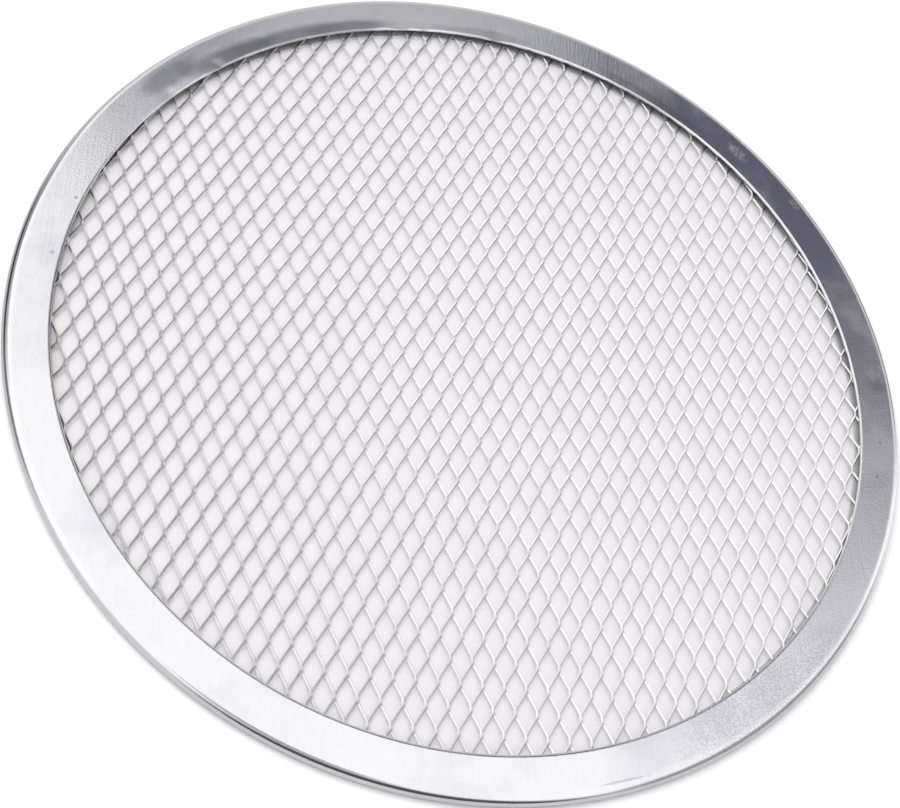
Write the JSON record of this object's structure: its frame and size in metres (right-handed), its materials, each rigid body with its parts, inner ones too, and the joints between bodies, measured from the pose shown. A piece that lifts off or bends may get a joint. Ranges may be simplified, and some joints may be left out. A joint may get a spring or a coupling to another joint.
{
  "type": "pizza screen",
  "caption": "Flat round pizza screen: a raised diamond mesh disc held all round in a folded sheet ring, for baking and cooling a pizza with air from below.",
  "frame": {"origin": "Centre of the ring, on the plane that the ring lies on.", "axes": "+Z is the ring's axis, up from the flat lower flange to the sloping upper flange. Y runs along the long way of the diamond openings and X along their short way."},
  "size_m": [0.2539, 0.254, 0.0042],
  "materials": {
    "rim_sheet": "rolled sheet, satin, lightly worn",
    "mesh_metal": "bright, slit and stretched"
  },
  "bodies": {
    "root": {"rim": "rim_sheet", "mesh_disc": "mesh_metal"}
  },
  "joints": []
}
